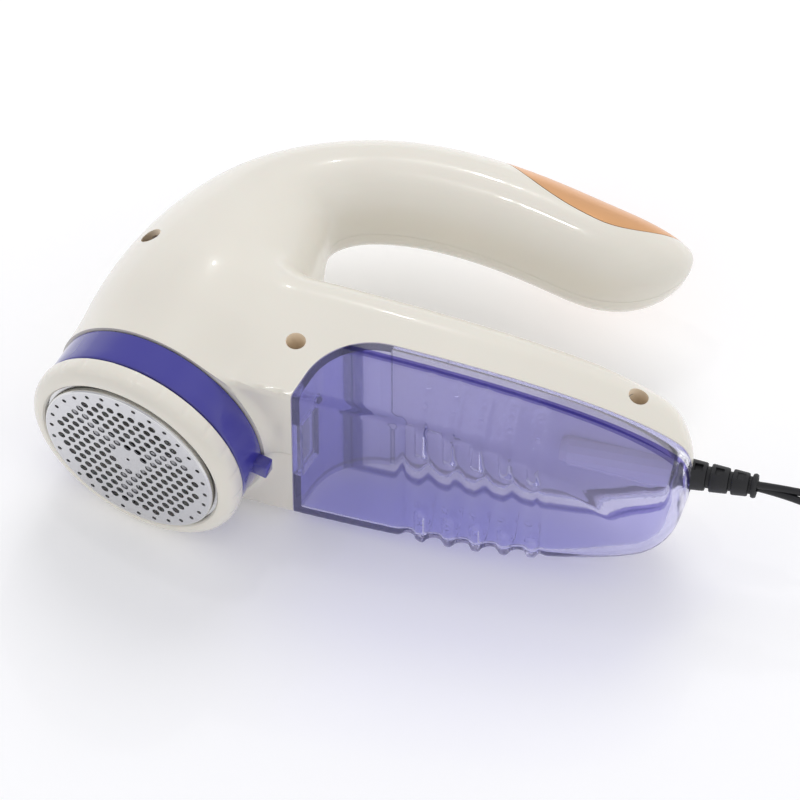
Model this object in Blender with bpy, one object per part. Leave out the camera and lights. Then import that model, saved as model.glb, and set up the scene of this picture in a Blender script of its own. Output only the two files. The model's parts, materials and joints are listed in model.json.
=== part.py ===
# Corded fabric shaver, modelled as its separate pieces.
#
# Frame: the origin is the centre of the foil's flat front face.  -Y points out of the
# foil, along the axis of the head; +X runs to the rear, where the cord leaves; +Z is
# across the body, so the tool lies on its side.  All working sizes are millimetres.
# In the comments, up and above mean +Y, forward means -X, and the side plane is XY.
import bpy
import bmesh
import numpy as np
from math import sin, cos, pi, radians, ceil, sqrt
from mathutils import Vector

# ---------------------------------------------------------------- driving dimensions
METRES = 0.001            # one millimetre
GAP = 0.3                 # running gap between neighbouring pieces
HALF_GAP = GAP / 2
WALL = 2.2                # casing wall
BOX_WALL = 1.8            # lint box wall
SHARP_ANGLE = radians(35)
THROUGH = (-60, 60)       # Z span of a tool that passes right through the body

# the arm: "along" runs rearwards on its tilted axis, "across" runs square to that
ARM_TILT = radians(12.5)
COS_TILT, SIN_TILT = cos(ARM_TILT), sin(ARM_TILT)
ARM_BOTTOM, ARM_TOP = 18.4, 66.4   # across: the box floor and the arm's top
ARM_END = 167.2           # along: the rear end
ARM_HALF = 30.6           # half width at the front of the box
ROOF = 44.5               # across: the lint box rim
BOX_FRONT = 41.9          # X of the lint box front wall
BOX_FILLET = 22.0

# the head
MOUTH_Y = 23.5            # plane of the casing's mouth
HEAD_R = 35.0             # outer radius of ring, collar and mouth
FOIL_R = 28.7
FOIL_T = 0.5
FACE_Y = 3.0              # the foil's face in the drawing frame; the origin is moved there
RING_Y0, RING_Y1 = 4.0, 11.5
COLLAR_Y0, COLLAR_Y1 = 12.1, 23.2
CARRIER_R = 31.5
BLADE_R = 27.5
SHAFT_R = 1.6
MOTOR_R = 14.0
MOTOR_Y0, MOTOR_Y1 = 40.0, 78.0

# axes in the side plane, from their inner to their outer end
CORD_AXIS = ((147.8, 79.4), (168.1, 85.3))   # strain relief
TUNNEL_AXIS = ((111.0, 68.3), (149.0, 79.75))
SCREWS = ((-26.4, 63.1), (33.4, 46.1), (128.7, 83.2))

# the grip's centre line lies in the mid-plane: it rises out of the head, leans forward,
# goes round a superelliptic bend into a level bar, and lifts into a tapered tip
GRIP_R = 16.0             # radius of the level bar
LEAN = 7.4                # how far the neck leans forward of the head's axis
LEAN_Y = 26.0             # where the lean starts
BEND_X, BEND_Y = 75.0, 88.0      # centre of the bend
BAR_Y = 137.2             # height of the level bar
BEND_POWER = 2.33         # squareness of the bend
NECK_Y0, NECK_Y1 = 42.0, 126.0   # the neck tapers from the head's radius to the bar's
NECK_END = 10.0           # the line ends one pitch below this height
TIP_START, TIP_X = 80.0, 108.6
TIP_LIFT = 10.7
TIP_R = 4.8
SPHERE_PITCH = 2.0


# ---------------------------------------------------------------- points and curves
def arm(along, across):
    """side-plane point from arm coordinates"""
    return (along * COS_TILT - across * SIN_TILT, along * SIN_TILT + across * COS_TILT)


def arm_coords(x, y):
    """arm coordinates of a side-plane point"""
    return x * COS_TILT + y * SIN_TILT, -x * SIN_TILT + y * COS_TILT


def step(low, high, value):
    """smooth step from 0 at low to 1 at high"""
    frac = np.clip((value - low) / (high - low), 0, 1)
    return frac * frac * (3 - 2 * frac)


def spline(points, pieces):
    """Catmull-Rom curve through the points, each span in so many pieces"""
    knots = np.array(points, float)
    knots = np.vstack([2 * knots[0] - knots[1], knots, 2 * knots[-1] - knots[-2]])
    out = []
    for i in range(1, len(knots) - 2):
        before, start, end, after = knots[i - 1:i + 3]
        for k in range(pieces):
            frac = k / pieces
            out.append(0.5 * (2 * start + (end - before) * frac
                              + (2 * before - 5 * start + 4 * end - after) * frac * frac
                              + (3 * start - before - 3 * end + after) * frac ** 3))
    out.append(knots[-2])
    return np.array(out)


# ---------------------------------------------------------------- the moulded body
# The body is a signed distance field: negative inside, in millimetres, about.
DRAFT_TOP, DRAFT_RUN = 46, 28    # across: the draft grows over this run below the top
END_DRAFT, SIDE_DRAFT = 2.0, 0.2
PLAN_START = 46                  # along: start of the arm's superelliptic plan
PLAN_POWER = 2.6
PLAN_MIN_SLOPE = 1 / 45.0        # keeps the plan's distance finite near its middle
ARM_START = 8                    # along: front end, buried in the head
TOP_START, TOP_FALL = 49, 0.034  # the top falls rearwards from here, at this slope
TOP_END_R, FLOOR_END_R = 17.0, 15.0      # rear corner radii in side view
EDGE_R, TOP_EDGE_R, END_EDGE_R = 1.3, 10.0, 7.0     # long edges: base and additions
SLOPE_STEP = 0.05
SETTLE_ROUNDS = 4


def neck_radius(y):
    return HEAD_R - (HEAD_R - GRIP_R) * float(step(NECK_Y0, NECK_Y1, y))


def grip_line():
    """spheres on the grip's centre line, from the tip down into the head: x, y, radius"""
    line = []
    for x in np.arange(TIP_X, BEND_X, -SPHERE_PITCH / 2):
        frac = max(x - TIP_START, 0) / (TIP_X - TIP_START)
        line.append((x, BAR_Y + TIP_LIFT * frac ** 3, GRIP_R - (GRIP_R - TIP_R) * frac ** 3.3))
    run, rise = BEND_X + LEAN, BAR_Y - BEND_Y
    for angle in np.linspace(pi / 2, 0, int(150 / SPHERE_PITCH)):
        x = BEND_X - run * max(cos(angle), 0) ** (2 / BEND_POWER)
        y = BEND_Y + rise * max(sin(angle), 0) ** (2 / BEND_POWER)
        line.append((x, y, neck_radius(y)))
    for y in np.arange(BEND_Y, NECK_END - SPHERE_PITCH, -SPHERE_PITCH):
        line.append((-LEAN * float(step(LEAN_Y, BEND_Y, y)), y, neck_radius(y)))
    return np.array(line)


SPHERES = grip_line()


def grip_field(points):
    nearest = np.full(len(points), 1e9)
    for x, y, radius in SPHERES:
        dist = np.sqrt((points[:, 0] - x) ** 2 + (points[:, 1] - y) ** 2
                       + points[:, 2] ** 2) - radius
        np.minimum(nearest, dist, nearest)
    return nearest


def rounded_corner(first, second, radius):
    """intersection of two distances, with its corner rounded"""
    first, second = first + radius, second + radius
    return (np.minimum(np.maximum(first, second), 0)
            + np.sqrt(np.maximum(first, 0) ** 2 + np.maximum(second, 0) ** 2) - radius)


def arm_field(points):
    along, across = arm_coords(points[:, 0], points[:, 1])
    z = np.abs(points[:, 2])
    # plan view: straight sides running into a superelliptic rear end
    draft = np.clip((DRAFT_TOP - across) / DRAFT_RUN, 0, 1)
    run = ARM_END - END_DRAFT * draft - PLAN_START
    power = PLAN_POWER - 0.5 * draft
    half = ARM_HALF - SIDE_DRAFT * draft - 2.0 * (1 - step(14, 40, along))
    rear = np.clip((along - PLAN_START) / run, 0, None)
    ratio = ((z / half) ** power + rear ** power) ** (1 / power)
    safe_z, safe_rear = np.maximum(z, 1e-6), np.maximum(rear, 1e-9)
    scale = np.maximum(ratio, 1e-6) ** (1 - power)
    slope_z = scale * (safe_z / half) ** (power - 1) / half
    slope_along = scale * safe_rear ** (power - 1) / run * (rear > 0)
    steepness = np.sqrt(slope_z * slope_z + slope_along * slope_along)
    plan = (ratio - 1) / np.maximum(steepness, PLAN_MIN_SLOPE)
    plan = np.maximum(plan, ARM_START - along)
    # side view: a band with rounded rear corners
    top = ARM_TOP - TOP_FALL * np.clip(along - TOP_START, 0, None)
    middle, half_height = 0.5 * (top + ARM_BOTTOM), 0.5 * (top - ARM_BOTTOM)
    end_radius = np.where(across > middle, TOP_END_R, FLOOR_END_R)
    side = rounded_corner(along - ARM_END, np.abs(across - middle) - half_height, end_radius)
    upper = step(40, 56, across)
    edge = EDGE_R + TOP_EDGE_R * upper + END_EDGE_R * step(130, 162, along) * (1 - upper)
    return rounded_corner(plan, side, edge)


def body_field(points):
    """distance to the outside of casing and lint box together"""
    grip_dist, arm_dist = grip_field(points), arm_field(points)
    # crisp at the mouth, blended above it
    blend = 1.0 + 8.0 * step(26.0, 46.0, points[:, 1])
    overlap = np.maximum(blend - np.abs(grip_dist - arm_dist), 0) / blend
    return np.minimum(grip_dist, arm_dist) - overlap * overlap * blend * 0.25


def slope(points):
    gradient = np.zeros_like(points)
    for i in range(3):
        shift = np.zeros(3)
        shift[i] = SLOPE_STEP
        rise = body_field(points + shift) - body_field(points - shift)
        gradient[:, i] = rise / (2 * SLOPE_STEP)
    return gradient


def settle(points, level):
    """move points down the field's gradient onto the surface at a level"""
    for _ in range(SETTLE_ROUNDS):
        error, gradient = body_field(points) - level, slope(points)
        steepness = np.maximum((gradient * gradient).sum(1), 1e-6)
        points = points - gradient * (error / steepness)[:, None]
    return points


GRID = 3.6                # first facet size of the body, thinned out afterwards
GRID_LOW, GRID_HIGH = (-45.0, -34.0, -45.5), (178.0, 168.0, 45.5)


def skin(level):
    """closed quad mesh of the body's surface at one level: one vertex per crossed cell"""
    count = [int(ceil((GRID_HIGH[i] - GRID_LOW[i]) / GRID)) + 1 for i in range(3)]
    x, y, z = np.meshgrid(*[GRID_LOW[i] + GRID * np.arange(count[i]) for i in range(3)],
                          indexing='ij')
    value = (body_field(np.c_[x.ravel(), y.ravel(), z.ravel()]) - level).reshape(count)
    inside = value < 0
    corners = [(i, j, k) for i in (0, 1) for j in (0, 1) for k in (0, 1)]
    filled = sum(inside[i:count[0] - 1 + i, j:count[1] - 1 + j, k:count[2] - 1 + k].astype(int)
                 for i, j, k in corners)
    crossed = (filled > 0) & (filled < 8)
    number = -np.ones(crossed.shape, int)
    number[crossed] = np.arange(crossed.sum())

    # each vertex is the mean of the points where its cell's edges cross the surface
    cells = np.argwhere(crossed)
    total, hits = np.zeros((len(cells), 3)), np.zeros(len(cells))
    for corner in corners:
        for axis in range(3):
            if corner[axis]:
                continue
            start = cells + np.array(corner)
            edge = np.eye(3, dtype=int)[axis]
            value_0 = value[tuple(start.T)]
            value_1 = value[tuple((start + edge).T)]
            cuts = (value_0 < 0) != (value_1 < 0)
            frac = np.where(cuts, value_0 / np.where(cuts, value_0 - value_1, 1), 0)
            point = start + np.outer(frac, edge)
            total[cuts] += point[cuts]
            hits[cuts] += 1
    verts = np.array(GRID_LOW) + GRID * total / hits[:, None]

    # one quad round every grid edge that crosses the surface
    faces = []
    for axis in range(3):
        others = [k for k in range(3) if k != axis]
        low, high = (inside.take(np.arange(count[axis] - 1) + k, axis) for k in (0, 1))
        for flip, mask in ((False, low & ~high), (True, ~low & high)):
            quads = []
            for back in ((1, 1), (0, 1), (0, 0), (1, 0)):
                cell = np.argwhere(mask)
                cell[:, others] -= np.array(back)
                quads.append(number[tuple(cell.T)])
            quads = np.stack(quads, 1)
            if (axis == 1) != flip:
                quads = quads[:, ::-1]
            faces.append(quads)
    return settle(verts, level), np.vstack(faces)


def surface_z(x, y):
    """half width of the body at a point of the side plane"""
    z = np.linspace(0.0, 44.0, 441)
    dist = body_field(np.c_[np.full(441, x), np.full(441, y), z])
    i = int(np.argmax(dist >= 0))
    return float(z[i - 1] + 0.1 * dist[i - 1] / (dist[i - 1] - dist[i])) if i else 0.0


# ---------------------------------------------------------------- scene and materials
for old in list(bpy.data.objects):
    bpy.data.objects.remove(old, do_unlink=True)


def material(name, rgb, rough, metal=0.0, alpha=1.0):
    mat = bpy.data.materials.new(name)
    mat.use_nodes = True
    inputs = mat.node_tree.nodes['Principled BSDF'].inputs
    inputs['Base Color'].default_value = (*rgb, 1)
    inputs['Roughness'].default_value = rough
    inputs['Metallic'].default_value = metal
    inputs['Alpha'].default_value = alpha
    mat.diffuse_color = (*rgb, alpha)
    return mat


IVORY = material('ivory_plastic', rgb=(0.80, 0.77, 0.69), rough=0.22)
VIOLET = material('violet_clear', rgb=(0.32, 0.32, 0.72), rough=0.08, alpha=0.5)
BLUE = material('blue_plastic', rgb=(0.045, 0.045, 0.28), rough=0.15)
STEEL = material('foil_steel', rgb=(0.75, 0.75, 0.77), rough=0.25, metal=1)
BLADE = material('blade_steel', rgb=(0.55, 0.55, 0.57), rough=0.3, metal=1)
ZINC = material('zinc_steel', rgb=(0.62, 0.62, 0.6), rough=0.35, metal=1)
COPPER = material('copper_trim', rgb=(0.72, 0.42, 0.22), rough=0.3, metal=0.8)
BLACK = material('black_rubber', rgb=(0.015, 0.015, 0.016), rough=0.6)
CORD = material('black_pvc', rgb=(0.01, 0.01, 0.011), rough=0.35)
WHITE = material('white_nylon', rgb=(0.82, 0.82, 0.8), rough=0.45)
BRASS = material('sintered_bronze', rgb=(0.6, 0.42, 0.18), rough=0.4, metal=1)
BOARD = material('board_green', rgb=(0.03, 0.16, 0.06), rough=0.5)
EPOXY = material('black_epoxy', rgb=(0.02, 0.02, 0.02), rough=0.5)
CAPBLUE = material('capacitor_sleeve', rgb=(0.04, 0.07, 0.25), rough=0.4)
RED = material('red_wire', rgb=(0.5, 0.02, 0.02), rough=0.45)
WIREBLUE = material('blue_wire', rgb=(0.02, 0.06, 0.4), rough=0.45)


# ---------------------------------------------------------------- modelling helpers
def link(name, mesh):
    piece = bpy.data.objects.new(name, mesh)
    bpy.context.scene.collection.objects.link(piece)
    return piece


def add(name, verts, faces, mat=None):
    mesh = bpy.data.meshes.new(name)
    mesh.from_pydata([(float(x) * METRES, (float(y) - FACE_Y) * METRES, float(z) * METRES)
                      for x, y, z in verts], [], [tuple(map(int, face)) for face in faces])
    bm = bmesh.new()
    bm.from_mesh(mesh)
    bmesh.ops.remove_doubles(bm, verts=bm.verts, dist=1e-6)
    bmesh.ops.recalc_face_normals(bm, faces=bm.faces)
    bm.to_mesh(mesh)
    bm.free()
    if mat:
        mesh.materials.append(mat)
    return link(name, mesh)


def copy(source, name, mat):
    mesh = source.data.copy()
    mesh.materials.clear()
    mesh.materials.append(mat)
    return link(name, mesh)


def apply_modifiers(piece):
    bpy.context.view_layer.update()
    graph = bpy.context.evaluated_depsgraph_get()
    mesh = bpy.data.meshes.new_from_object(piece.evaluated_get(graph))
    bm = bmesh.new()
    bm.from_mesh(mesh)
    bmesh.ops.remove_doubles(bm, verts=bm.verts, dist=2e-5)
    bmesh.ops.dissolve_degenerate(bm, edges=bm.edges, dist=2e-5)
    bmesh.ops.dissolve_limit(bm, angle_limit=radians(0.05), verts=bm.verts,
                             edges=bm.edges, delimit=set())
    bmesh.ops.triangulate(bm, faces=bm.faces)
    bm.to_mesh(mesh)
    bm.free()
    piece.modifiers.clear()
    old = piece.data
    piece.data = mesh
    mesh.name = piece.name
    bpy.data.meshes.remove(old)


def facet(piece):
    """split every face into triangles"""
    bm = bmesh.new()
    bm.from_mesh(piece.data)
    bmesh.ops.triangulate(bm, faces=bm.faces)
    bm.to_mesh(piece.data)
    bm.free()


def cut(piece, tool, operation='DIFFERENCE', keep=False):
    """boolean a tool into a piece; the tool goes unless kept"""
    facet(tool)
    facet(piece)
    mod = piece.modifiers.new('cut', 'BOOLEAN')
    mod.operation = operation
    mod.solver = 'EXACT'
    mod.object = tool
    apply_modifiers(piece)
    if not keep:
        bpy.data.objects.remove(tool, do_unlink=True)


def thinned(name, level, triangles):
    """the body's surface at one level, reduced to about so many triangles"""
    piece = add(name, *skin(level))
    mod = piece.modifiers.new('thin', 'DECIMATE')
    mod.ratio = triangles / (2.0 * len(piece.data.polygons))
    mod.use_collapse_triangulate = True
    apply_modifiers(piece)
    return piece


def prism_faces(count, first=0):
    """two end loops of count vertices and the sides between them"""
    faces = [list(range(count)), list(range(2 * count - 1, count - 1, -1))]
    faces += [[i, i + count, (i + 1) % count + count, (i + 1) % count] for i in range(count)]
    return [[first + i for i in face] for face in faces]


def tube_faces(rings, seg):
    """sides between successive rings of seg vertices, with both ends closed"""
    faces = []
    for i in range(rings - 1):
        for k in range(seg):
            n = (k + 1) % seg
            faces.append([i * seg + k, i * seg + n, (i + 1) * seg + n, (i + 1) * seg + k])
    faces.append(list(range(seg - 1, -1, -1)))
    faces.append([(rings - 1) * seg + k for k in range(seg)])
    return faces


def turned(name, profile, seg, mat=None, x=0.0, z=0.0):
    """solid of revolution about a line parallel to Y; profile is a closed loop of (y, r)"""
    verts, rings = [], []
    for y, radius in profile:
        if radius < 1e-6:
            verts.append((x, y, z))
            rings.append([len(verts) - 1] * seg)
        else:
            rings.append(list(range(len(verts), len(verts) + seg)))
            for k in range(seg):
                angle = 2 * pi * k / seg
                verts.append((x + radius * cos(angle), y, z + radius * sin(angle)))
    faces = []
    for i, ring in enumerate(rings):
        after = rings[(i + 1) % len(rings)]
        if ring[0] == ring[1] and after[0] == after[1]:
            continue
        for k in range(seg):
            n = (k + 1) % seg
            # a ring on the axis repeats its one vertex, so the quad becomes a triangle
            face = list(dict.fromkeys([ring[k], ring[n], after[n], after[k]]))
            if len(face) > 2:
                faces.append(face)
    return add(name, verts, faces, mat)


def sleeve(name, y0, y1, bore, radius, seg, mat=None, x=0.0, z=0.0):
    """plain turned ring, or a solid disc where the bore is 0"""
    profile = [(y0, bore), (y0, radius), (y1, radius), (y1, bore)]
    return turned(name, profile, seg, mat, x, z)


def prism(name, outline, z_span, mat=None):
    """outline in the side plane, extruded across the body"""
    verts = [(x, y, z) for z in z_span for x, y in outline]
    return add(name, verts, prism_faces(len(outline)), mat)


def block(name, x, y, z, mat=None):
    return prism(name, [(x[0], y[0]), (x[1], y[0]), (x[1], y[1]), (x[0], y[1])], z, mat)


def arm_block(name, along, across, z, mat=None):
    """block lying square to the arm"""
    corners = ((0, 0), (1, 0), (1, 1), (0, 1))
    return prism(name, [arm(along[i], across[j]) for i, j in corners], z, mat)


def cylinder(name, x, y, radius, z_span, seg=14, mat=None):
    """cylinder across the body"""
    angles = [2 * pi * k / seg for k in range(seg)]
    return prism(name, [(x + radius * cos(a), y + radius * sin(a)) for a in angles],
                 z_span, mat)


def tangent(points, i):
    return (points[min(i + 1, len(points) - 1)] - points[max(i - 1, 0)]).normalized()


def rod(name, path, radius, seg, mat=None):
    """round bar swept along a path that doesn't start along Z; one radius or one per point"""
    points = [Vector(point) for point in path]
    radii = radius if hasattr(radius, '__len__') else [radius] * len(points)
    verts, side = [], None
    for i, point in enumerate(points):
        ahead = tangent(points, i)
        if side is None:
            side = Vector((0, 0, 1)).cross(ahead).normalized()
        else:
            side = (side - ahead * side.dot(ahead)).normalized()
        other = ahead.cross(side)
        for k in range(seg):
            angle = 2 * pi * k / seg
            verts.append(point + (side * cos(angle) + other * sin(angle)) * radii[i])
    return add(name, verts, tube_faces(len(points), seg), mat)


def bay_outline(grow, far=190.0, low=-5.0, seg=8):
    """side view of the lint box bay, grown outwards: front wall, corner round, roof"""
    front, roof = BOX_FRONT - grow, ROOF + grow
    radius = BOX_FILLET + grow
    # the arc touches both the wall and the roof
    x = front + radius
    y = (roof - radius) / COS_TILT + x * SIN_TILT / COS_TILT
    points = [(front, low)]
    start, end = pi, pi / 2 + ARM_TILT
    for k in range(seg + 1):
        angle = start + (end - start) * k / seg
        points.append((x + radius * cos(angle), y + radius * sin(angle)))
    points.append(arm(far, roof))
    points.append((arm(far, roof)[0], low))
    return points


# ---------------------------------------------------------------- casing and trim
# lower edge of the trim from the side: a parabola each side of its lowest point
TRIM_LOW = (86.0, 139.0)
TRIM_FRONT, TRIM_REAR = (45.0, 14.0), (26.0, 18.0)   # run and rise to each end
TRIM_X, TRIM_TOP = (38, 116), 175        # box that holds the region above the edge
TRIM_FRONT_Y = 156.15                    # height of the region's lower front corner
PORT_R = 5.25

outer = thinned('outer', 0.0, 1700)
inner = thinned('inner', -WALL, 900)
shell = copy(outer, 'shell', IVORY)
cut(shell, block('mouth_plane', (-60, BOX_FRONT + 5), (-60, MOUTH_Y), THROUGH))
cut(shell, prism('bay', bay_outline(HALF_GAP), THROUGH))
# round port where the strain relief leaves between the halves
(cord_x, cord_y), cord_out = CORD_AXIS
cut(shell, rod('port', [(cord_x - 8, cord_y - 2.3, 0.1), (*cord_out, 0.1)], PORT_R, 16))


def above_trim_edge(name, lift):
    """region above the trim's lower edge, with the edge lifted by so much"""
    outline = [(TRIM_X[0], TRIM_TOP), (TRIM_X[0], TRIM_FRONT_Y + lift)]
    for frac in np.linspace(-1, 1, 28):
        run, rise = TRIM_REAR if frac > 0 else TRIM_FRONT
        outline.append((TRIM_LOW[0] + run * frac, TRIM_LOW[1] + rise * frac * frac + lift))
    return prism(name, outline + [(TRIM_X[1], TRIM_TOP)], (-40, 40))


trim = copy(outer, 'handle_trim', COPPER)
cut(trim, above_trim_edge('trim_keep', HALF_GAP), 'INTERSECT')
cut(shell, above_trim_edge('trim_tool', -HALF_GAP))
cut(trim, inner, keep=True)


def casing_half(name, z_span):
    half = copy(shell, name, IVORY)
    cut(half, inner, keep=True)
    cut(half, block('side', (-80, 200), (-40, 200), z_span), 'INTERSECT')
    return half


near = casing_half('near_casing', (HALF_GAP, 60))
far = casing_half('far_casing', (-60, -HALF_GAP))
for used in (shell, outer, inner):
    bpy.data.objects.remove(used, do_unlink=True)

# ---------------------------------------------------------------- case screws
BOSS_R = 3.9
SINK_R, SINK_Z = 3.0, 6.0        # counterbore and its foot
CLEAR_R, PILOT_R = 1.75, 1.55
SCREW_R, SCREW_HEAD_R = 1.35, 2.6
SLOT = (1.3, 0.3)                # half length and half width of the cross slot

for i, (x, y) in enumerate(SCREWS):
    # the boss runs into the wall without breaking through where the wall slopes
    reach_r = BOSS_R + 0.2
    boss_z = min(surface_z(x + reach_r * cos(a), y + reach_r * sin(a))
                 for a in np.linspace(0, 2 * pi, 13)) - 0.8
    cut(near, cylinder('boss', x, y, BOSS_R, (HALF_GAP, boss_z)), 'UNION')
    cut(near, cylinder('sink', x, y, SINK_R, (SINK_Z, surface_z(x, y) + 8), 20))
    cut(near, cylinder('clear', x, y, CLEAR_R, (-1, 10)))
    cut(far, cylinder('post', x, y, BOSS_R, (-boss_z, -HALF_GAP)), 'UNION')
    cut(far, cylinder('pilot', x, y, PILOT_R, (-12.5, 1)))
    # pan-head screw with a cross slot, head at the foot of the near counterbore
    screw = cylinder('case_screw_%d' % (i + 1), x, y, SCREW_R, (-11.5, 6.6), 10, ZINC)
    cut(screw, cylinder('head', x, y, SCREW_HEAD_R, (SINK_Z + GAP, 8.2)), 'UNION')
    for dx, dy in (SLOT, SLOT[::-1]):
        cut(screw, block('slot', (x - dx, x + dx), (y - dy, y + dy), (7.5, 9)))

# ---------------------------------------------------------------- lint box
# the body's own outside below the rim, drawn as sections along the arm
LOFT_MID, LOFT_TOP = 33.0, 58.0  # across: centre of the rays, and the sections' top
LOFT_SECTIONS = 11
BOX_END = ARM_END - 0.7
RIB_ALONG, RIB_PITCH, RIB_ACROSS = 85.6, 8.6, 27.6
RIB_TILT = radians(19.0)
RIB_OUTLINE = [(-1.7, -9.0), (0, -10.5), (1.7, -9.0), (1.7, 9.2), (-1.7, 9.2)]  # width, length


def reach(along, across, step_across, step_z, level):
    """how many steps rays from the mid-plane run before they meet the surface"""
    low, high = np.zeros(len(along)), np.full(len(along), 3.0)
    for _ in range(24):
        middle = 0.5 * (low + high)
        x, y = arm(along, across + step_across * middle)
        inside = body_field(np.c_[x, y, step_z * middle]) < level
        low, high = np.where(inside, middle, low), np.where(inside, high, middle)
    return low


def arm_loft(name, level, start, end, mat=None):
    """the arm's surface at one level, with the sections closing up towards the rear"""
    floor = ARM_BOTTOM - level
    rise = LOFT_TOP - floor
    stations = np.array([start + (end - start) * (1 - (1 - i / (LOFT_SECTIONS - 1)) ** 1.7)
                         for i in range(LOFT_SECTIONS)])
    # the width is taken lower down the draft, except on the round end
    width_across = np.where(stations < 135, LOFT_MID - 12, LOFT_MID)
    halves = 40 * reach(stations, width_across, np.zeros(LOFT_SECTIONS),
                        np.full(LOFT_SECTIONS, 40.0), level)
    points = []
    for station, half in zip(stations, halves):
        loop = [(floor, half * k / 3) for k in range(-3, 3)]
        loop += [(floor + rise * k / 4, half) for k in range(4)]
        loop += [(LOFT_TOP, half * k / 3) for k in range(3, -3, -1)]
        loop += [(LOFT_TOP - rise * k / 4, -half) for k in range(4)]
        points += [(station, across, z) for across, z in loop]
    along, across, z = np.array(points).T
    offset = across - LOFT_MID
    length = reach(along, np.full(len(points), LOFT_MID), offset, z, level)
    x, y = arm(along, LOFT_MID + offset * length)
    faces = tube_faces(LOFT_SECTIONS, len(points) // LOFT_SECTIONS)
    return add(name, np.c_[x, y, z * length], faces, mat)


box = arm_loft('lint_box', 0.0, 44.5, BOX_END, VIOLET)
cut(box, prism('bay_in', bay_outline(-HALF_GAP), THROUGH), 'INTERSECT')

hollow = arm_loft('hollow', -BOX_WALL, 44.0, BOX_END - BOX_WALL)
well = bay_outline(-BOX_WALL)[:-2]
well_end = arm_coords(*well[-1])[0]
well += [arm(well_end + 0.5, 60), arm(190, 60), (arm(190, 60)[0], -5)]
cut(hollow, prism('lid', well, THROUGH), 'INTERSECT')

# finger ribs, five on each side, standing on the side walls
for k in range(5):
    rib_x, rib_y = arm(RIB_ALONG + RIB_PITCH * k, RIB_ACROSS)
    wall_z = surface_z(rib_x, rib_y)
    cos_rib, sin_rib = cos(RIB_TILT), sin(RIB_TILT)
    outline = [(rib_x + wide * cos_rib + long * sin_rib, rib_y + wide * sin_rib - long * cos_rib)
               for wide, long in RIB_OUTLINE]
    z0, z1 = wall_z - 3.4, wall_z + 0.5
    for z_span in ((z0, z1), (-z1, -z0)):
        cut(box, prism('rib', outline, z_span), 'UNION')
cut(box, hollow)
cut(box, block('inlet', (36, 50), (32.0, 40.8), (-13.0, 13.0)))
# slot for the strain relief, open at the rim
cut(box, rod('slot', [(cord_x - 14, cord_y - 4.1, 0.12), (*cord_out, 0.12)], 5.5, 14))
slot_up = [arm(150, 44.2), arm(180, 45.2), arm(180, 60), arm(150, 60)]
cut(box, prism('slot_up', slot_up, (-5.3, 5.3)))


# ---------------------------------------------------------------- bay liner and cord tunnel
def liner_line(grow):
    return bay_outline(grow, far=161.0, low=27.6)[:-1]


liner = prism('bay_liner', liner_line(0.45) + liner_line(2.0)[::-1], (-40, 40), IVORY)
cut(liner, thinned('lining', -WALL - 1.3, 1300), 'INTERSECT')
cut(liner, block('duct_hole', (36, 46), (26.0, 42.8), (-14.2, 14.2)))
(tunnel_x, tunnel_y), (tunnel_x1, tunnel_y1) = TUNNEL_AXIS
tunnel = [(tunnel_x + (tunnel_x1 - tunnel_x) * frac, tunnel_y + (tunnel_y1 - tunnel_y) * frac,
           0.0) for frac in (0, 0.06, 0.88)]
cut(liner, rod('tunnel', tunnel, [4.6, 5.9, 5.9], 17), 'UNION')
cut(liner, arm_block('flat_top', (100, 175), (48.7, 60), (-12, 12))
    if False else prism('flat_top', [arm(100, 48.7), arm(175, 48.7), arm(175, 60),
                                     arm(100, 60)], (-12, 12)))
# the bore drops in from above the tunnel, then turns along it
bend = spline([(tunnel_x + dx, tunnel_y + dy, 0.13)
               for dx, dy in ((4.5, 18), (5.5, 9), (9.5, 3.9), (16.0, 4.9))], 3)
bore = [tuple(point) for point in bend] + [(tunnel_x1 + 8, tunnel_y1 + 2.5, 0.13)]
cut(liner, rod('bore', bore, 3.25, 12))

# ---------------------------------------------------------------- head
HOLE_PITCH, HOLE_R = 10.4, 2.8   # hexagonal perforations
HOLES_FROM, HOLES_TO = 6.0, 24.5     # radii that bound the perforated band

turned('foil_ring', [
    (RING_Y0 + 1.2, 29.1), (RING_Y0, 30.2), (RING_Y0 + 0.1, 31.6), (RING_Y0 + 1.2, 33.4),
    (RING_Y0 + 2.6, 34.6), (RING_Y0 + 4.2, HEAD_R), (RING_Y1 - 1.6, HEAD_R), (RING_Y1, 34.4),
    (RING_Y1, CARRIER_R + 0.5), (RING_Y0 + 1.5, CARRIER_R + 0.5), (RING_Y0 + 1.5, 29.1),
], 44, IVORY)
foil = turned('foil', [
    (FACE_Y, 0.0), (FACE_Y, FOIL_R - 0.5), (FACE_Y + 0.5, FOIL_R), (FACE_Y + 2.8, FOIL_R),
    (FACE_Y + 2.8, CARRIER_R - 0.2), (FACE_Y + 3.3, CARRIER_R - 0.2),
    (FACE_Y + 3.3, FOIL_R - 0.5), (FACE_Y + FOIL_T, FOIL_R - 0.5), (FACE_Y + FOIL_T, 0.0),
], 44, STEEL)
verts, faces = [], []
for i in range(-4, 5):
    for j in range(-4, 5):
        x, z = HOLE_PITCH * (i + 0.5 * (j % 2)), HOLE_PITCH * j * sqrt(3) / 2
        if HOLES_FROM < sqrt(x * x + z * z) < HOLES_TO:
            faces += prism_faces(6, len(verts))
            for y in (FACE_Y - 1.0, FACE_Y + 1.5):
                for k in range(6):
                    angle = 2 * pi * k / 6 + pi / 6
                    verts.append((x + HOLE_R * cos(angle), y, z + HOLE_R * sin(angle)))
cut(foil, add('perforations', verts, faces))

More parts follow.
